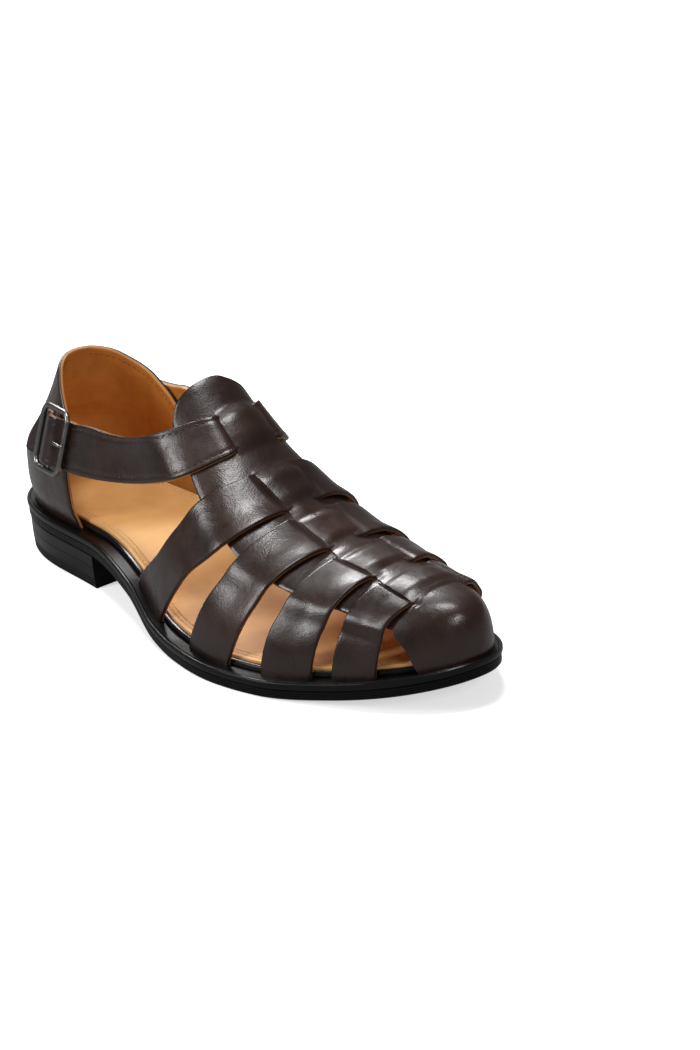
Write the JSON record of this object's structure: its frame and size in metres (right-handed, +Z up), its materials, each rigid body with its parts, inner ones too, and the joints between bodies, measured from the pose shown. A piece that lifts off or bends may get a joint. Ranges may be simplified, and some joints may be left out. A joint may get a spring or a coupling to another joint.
{
  "type": "fisherman sandal",
  "caption": "Brown leather fisherman sandal for the right foot, with woven straps, closed toe cap, heel counter, buckled ankle strap, welted black sole and low heel",
  "frame": {"origin": "centre of the outline at floor height", "axes": "+Z up, toe towards -Y, outer side of the right foot towards -X"},
  "size_m": [0.1075, 0.288, 0.1041],
  "materials": {
    "leather_brown": "burnished dark brown calf, soft sheen",
    "leather_tan": "smooth light tan vegetable leather",
    "sole_black": "black waxed edge, satin",
    "rubber_black": "matte black rubber",
    "metal_dark": "antique nickel, polished on the high spots"
  },
  "bodies": {
    "root": {"outsole": "sole_black", "welt": "sole_black", "heel_stack": "sole_black", "heel_top_piece": "rubber_black", "insole_board": "sole_black", "insole_sock": "leather_tan", "upper": "leather_brown", "heel_counter": "leather_brown", "buckle_frame": "metal_dark", "buckle_prong": "metal_dark", "buckle_tab": "leather_brown"}
  },
  "joints": []
}
